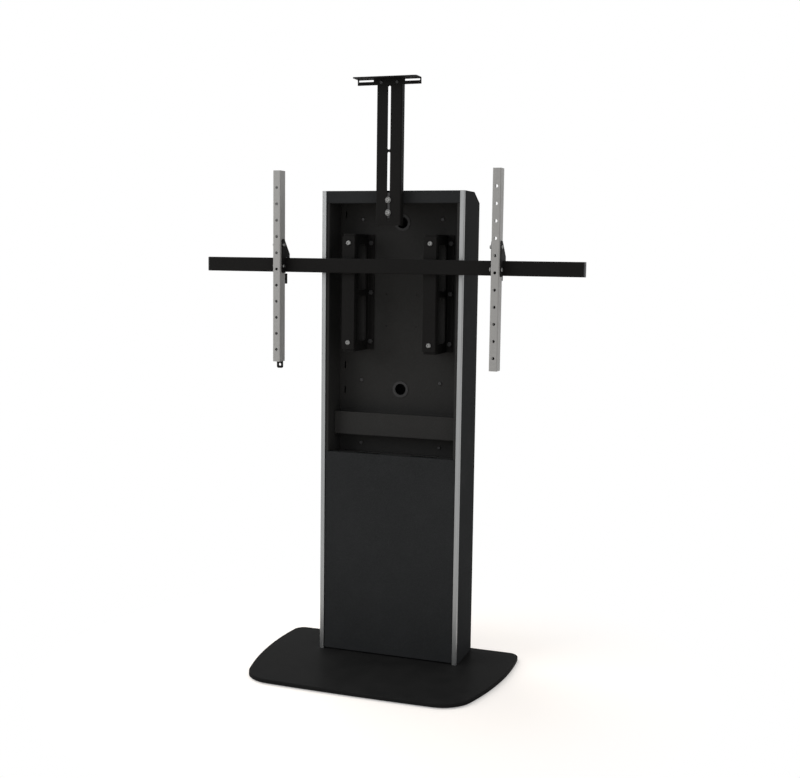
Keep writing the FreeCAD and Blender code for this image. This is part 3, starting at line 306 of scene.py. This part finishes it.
def turned_metal(name, colour, roughness, centre, edge=0.0004):
    """Bright metal with turning rings round an axis along Y."""
    material, tree, shader = new_material(name)
    space = texture_space(tree, centre=centre)
    wave = tree.nodes.new("ShaderNodeTexWave")
    wave.wave_type = "RINGS"
    wave.rings_direction = "Y"
    wave.inputs["Scale"].default_value = ring_scale
    wave.inputs["Distortion"].default_value = ring_wobble
    tree.links.new(space, wave.inputs["Vector"])
    rings = wave.outputs["Fac"]
    patches = noise(tree, space, ring_patch_scale, detail=4.0, roughness=0.6)
    rounded = rounded_normal(tree, edge)
    tone = blended(
        tree, ranged(tree, patches, low=0.0, high=1.0), shaded(colour, 0.85), shaded(colour, 1.1))
    edges = ranged(tree, edge_mask(tree, rounded), low=0.0, high=0.5, start=0.0, end=1.0)
    tone = blended(tree, edges, tone, shaded(colour, 0.6))
    rough = ranged(tree, rings, low=roughness - 0.05, high=roughness + 0.10)
    normal = bump(tree, rings, strength=0.35, distance=ring_height, before=rounded)
    finish_shader(tree, shader, tone, rough, normal)
    shader.inputs["Metallic"].default_value = 1.0
    return material


def moulded(name, colour, roughness, scale, depth, edge=0.0005):
    """Moulded plastic, rubber or blackened steel with a fine grain."""
    material, tree, shader = new_material(name)
    space = texture_space(tree)
    grain = noise(tree, space, scale, detail=3.0)
    clouds = noise(tree, space, plastic_cloud_scale, detail=3.0)
    rounded = rounded_normal(tree, edge)
    tone = blended(
        tree, ranged(tree, clouds, low=0.0, high=1.0), shaded(colour, 0.85), shaded(colour, 1.2))
    # Edges painted lighter: a painted highlight along them, partly wear
    edges = ranged(tree, edge_mask(tree, rounded), low=0.0, high=0.5, start=0.0, end=1.0)
    tone = blended(tree, edges, tone, shaded(colour, 1.8))
    rough = ranged(tree, grain, low=roughness - 0.05, high=roughness + 0.05)
    normal = bump(tree, grain, strength=0.3, distance=depth, before=rounded)
    finish_shader(tree, shader, tone, rough, normal)
    return material


def plated(name, colour, roughness, scale, edge=0.0003):
    """Plated steel with a faint patchy sheen."""
    material, tree, shader = new_material(name)
    patches = noise(tree, texture_space(tree), scale, detail=4.0, roughness=0.6)
    tone = blended(
        tree, ranged(tree, patches, low=0.0, high=1.0), shaded(colour, 0.88), shaded(colour, 1.08))
    rough = ranged(tree, patches, low=roughness - 0.06, high=roughness + 0.08)
    rounded = rounded_normal(tree, edge)
    normal = bump(tree, patches, strength=0.08, distance=plating_height, before=rounded)
    finish_shader(tree, shader, tone, rough, normal)
    shader.inputs["Metallic"].default_value = 1.0
    return material


# Finish of each material slot in the record, the lock's rings round its own middle
lock_low, lock_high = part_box("lock_cylinder")
lock_centre = [(low + high) / 2 for low, high in zip(lock_low, lock_high)]
finishes = {
    "foot_black": powder_coat(
        "foot_black", (0.0112, 0.0114, 0.0115),
        roughness=0.40, gloss=0.0030, contrast=0.9, edge=0.0024),
    "column_black": powder_coat(
        "column_black", (0.0214, 0.0225, 0.0235), roughness=0.80, gloss=0.015, contrast=0.8),
    "bay_black": powder_coat(
        "bay_black", (0.0232, 0.0232, 0.0228), roughness=0.72, gloss=0.06, contrast=0.8),
    "rail_black": powder_coat(
        "rail_black", (0.0084, 0.0082, 0.0080), roughness=0.60, gloss=0.04),
    "trim_silver": drawn_metal("trim_silver", (0.305, 0.31, 0.31), roughness=0.42),
    "arm_grey": powder_coat(
        "arm_grey", (0.285, 0.285, 0.28),
        roughness=0.46, gloss=0.35, contrast=0.25, edge=0.0008),
    "plastic": moulded(
        "plastic", (0.014, 0.014, 0.015), roughness=0.55, scale=1500.0, depth=0.00012),
    "rubber": moulded(
        "rubber", (0.013, 0.013, 0.013), roughness=0.75, scale=700.0, depth=0.0003),
    "zinc": plated("zinc", (0.22, 0.22, 0.215), roughness=0.40, scale=90.0),
    "screw_black": moulded(
        "screw_black", (0.020, 0.020, 0.021), roughness=0.42, scale=900.0, depth=0.00006),
    "lock_chrome": turned_metal(
        "lock_chrome", (0.52, 0.52, 0.52), roughness=0.22, centre=lock_centre),
}
for row in frame["record"]["subparts"]:
    node = frame["nodes"][row["node"]]
    node.data.materials.clear()
    node.data.materials.append(finishes[row["material_slot"]])


# Welds between the rail and the straps behind it
def bead_leg(along, distance):
    """Leg of a bead at a share and a distance of its length: tapered ends, ripples between."""
    taper = min(1.0, weld_taper_rate * along, weld_taper_rate * (1.0 - along)) ** 0.5
    ends = weld_end_share + (1.0 - weld_end_share) * taper
    ripples = 1.0 + weld_ripple_share * math.sin(2 * math.pi * distance / weld_ripple)
    return weld_leg * ends * ripples


def weld_bead(name, start, end, corner_y, corner_z, side):
    """Fillet weld along X in the corner of rail and strap, above it (side 1) or below (-1)."""
    bead = bmesh.new()
    rings = []
    for step in range(weld_steps + 1):
        along = step / weld_steps
        x = start + (end - start) * along
        leg = bead_leg(along, x - start)
        ring = [bead.verts.new((x, corner_y + weld_root, corner_z - weld_root * side))]
        for point in range(weld_arc_points):
            angle = math.pi / 2 * point / (weld_arc_points - 1)
            reach = leg * (1.0 - weld_hollow_share * math.sin(2 * angle))
            y = corner_y - reach * math.cos(angle)
            z = corner_z + side * reach * math.sin(angle)
            ring.append(bead.verts.new((x, y, z)))
        rings.append(ring)
    for first, second in zip(rings, rings[1:]):
        for index in range(len(first)):
            after = (index + 1) % len(first)
            bead.faces.new((first[index], first[after], second[after], second[index]))
    bead.faces.new(rings[0])
    bead.faces.new(reversed(rings[-1]))
    bmesh.ops.recalc_face_normals(bead, faces=bead.faces)
    for face in bead.faces:
        face.smooth = len(face.verts) == 4
    mesh = bpy.data.meshes.new(name)
    bead.to_mesh(mesh)
    bead.free()
    mesh.materials.append(finishes["rail_black"])
    piece = bpy.data.objects.new(name, mesh)
    bpy.context.scene.collection.objects.link(piece)
    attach(piece, "stand")


def make_welds():
    """Two welds at each strap, above and below the rail."""
    rail_low, rail_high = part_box("display_rail")
    rail_back = rail_high[1]
    for hand in ("left", "right"):
        strap_low, strap_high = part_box(hand + "_rail_strap")
        start = strap_low[0] + weld_end_gap
        end = strap_high[0] - weld_end_gap
        weld_bead(hand + "_upper_weld", start, end, rail_back, rail_high[2], side=1)
        weld_bead(hand + "_lower_weld", start, end, rail_back, rail_low[2], side=-1)


# Floor, world and lights
def shown_rays(tree):
    """1 for rays from the camera and for those seen in metal or glass, else 0."""
    path = tree.nodes.new("ShaderNodeLightPath")
    total = path.outputs["Is Camera Ray"]
    for kind in ("Is Glossy Ray", "Is Transmission Ray"):
        total = calculated(tree, "MAXIMUM", total, path.outputs[kind])
    return total


def emission(tree, strength):
    """White glow of the floor."""
    node = tree.nodes.new("ShaderNodeEmission")
    node.inputs["Color"].default_value = white
    node.inputs["Strength"].default_value = strength
    return node.outputs["Emission"]


def background(tree, strength):
    """White light from the world."""
    node = tree.nodes.new("ShaderNodeBackground")
    node.inputs["Color"].default_value = white
    node.inputs["Strength"].default_value = strength
    return node.outputs["Background"]


def mixed_shaders(tree, factor, first, second):
    """The first shader where the factor is 0, the second where it is 1."""
    node = tree.nodes.new("ShaderNodeMixShader")
    tree.links.new(factor, node.inputs["Fac"])
    tree.links.new(first, node.inputs[1])
    tree.links.new(second, node.inputs[2])
    return node.outputs["Shader"]


def floor_material():
    """Plain pale floor: it keeps the shadow near the stand and runs out to white."""
    material, tree, shader = new_material("floor")
    shader.inputs["Base Color"].default_value = (*floor_colour, 1.0)
    shader.inputs["Roughness"].default_value = floor_roughness
    shader.inputs["Specular IOR Level"].default_value = floor_gloss
    near = tree.nodes.new("ShaderNodeAddShader")
    tree.links.new(shader.outputs["BSDF"], near.inputs[0])
    tree.links.new(emission(tree, floor_lift), near.inputs[1])
    coordinates = tree.nodes.new("ShaderNodeTexCoord")
    distance = tree.nodes.new("ShaderNodeVectorMath")
    distance.operation = "LENGTH"
    tree.links.new(coordinates.outputs["Object"], distance.inputs[0])
    fade = ranged(
        tree, distance.outputs["Value"],
        low=0.0, high=1.0, start=shadow_reach, end=floor_white_from)
    shown = mixed_shaders(tree, fade, near.outputs["Shader"], emission(tree, 1.0))
    surface = mixed_shaders(tree, shown_rays(tree), shader.outputs["BSDF"], shown)
    tree.links.new(surface, tree.nodes["Material Output"].inputs["Surface"])
    return material


def make_floor():
    """Wide plane under the stand."""
    mesh = bpy.data.meshes.new("floor")
    half = floor_size / 2
    corners = [(-half, -half, 0), (half, -half, 0), (half, half, 0), (-half, half, 0)]
    mesh.from_pydata(corners, [], [(0, 1, 2, 3)])
    mesh.materials.append(floor_material())
    floor = bpy.data.objects.new("floor", mesh)
    bpy.context.scene.collection.objects.link(floor)


def make_world():
    """Even soft light, white behind the object."""
    world = bpy.data.worlds.new("studio")
    world.use_nodes = True
    tree = world.node_tree
    tree.nodes.clear()
    output = tree.nodes.new("ShaderNodeOutputWorld")
    surface = mixed_shaders(
        tree, shown_rays(tree), background(tree, world_light), background(tree, 1.0))
    tree.links.new(surface, output.inputs["Surface"])
    bpy.context.scene.world = world


def area_light(name, place, size, power):
    """Square soft light that looks at the middle of the stand."""
    data = bpy.data.lights.new(name, "AREA")
    data.shape = "SQUARE"
    data.size = size
    data.energy = power
    light = bpy.data.objects.new(name, data)
    direction = Vector(light_target) - Vector(place)
    turn = direction.to_track_quat("-Z", "Y").to_matrix().to_4x4()
    light.matrix_world = Matrix.Translation(place) @ turn
    bpy.context.scene.collection.objects.link(light)


def make_lights():
    """Soft key from the left front, weak fill from the right, a high light from the left rear."""
    area_light("key", key_place, key_size, key_power)
    area_light("fill", fill_place, fill_size, fill_power)
    area_light("rear", rear_place, rear_size, rear_power)


def make_camera():
    """Camera at the photo's viewing angle."""
    azimuth = math.radians(camera_azimuth)
    pitch = math.radians(camera_pitch)
    roll = math.radians(camera_roll)
    forward = Vector((
        -math.sin(azimuth) * math.cos(pitch),
        math.cos(azimuth) * math.cos(pitch),
        -math.sin(pitch),
    ))
    level = forward.cross(Vector((0, 0, 1))).normalized()
    upright = level.cross(forward)
    right = level * math.cos(roll) + upright * math.sin(roll)
    above = upright * math.cos(roll) - level * math.sin(roll)
    turn = Matrix((right, above, -forward)).transposed()
    data = bpy.data.cameras.new("photo_camera")
    data.sensor_fit = "HORIZONTAL"
    data.sensor_width = sensor_width
    data.lens = focal_pixels / photo_width * sensor_width
    data.clip_end = camera_reach
    camera = bpy.data.objects.new("photo_camera", data)
    camera.matrix_world = Matrix.Translation(camera_place) @ turn.to_4x4()
    bpy.context.scene.collection.objects.link(camera)
    bpy.context.scene.camera = camera


make_welds()
make_floor()
make_world()
make_lights()
make_camera()
bpy.context.scene.view_settings.view_transform = "Standard"
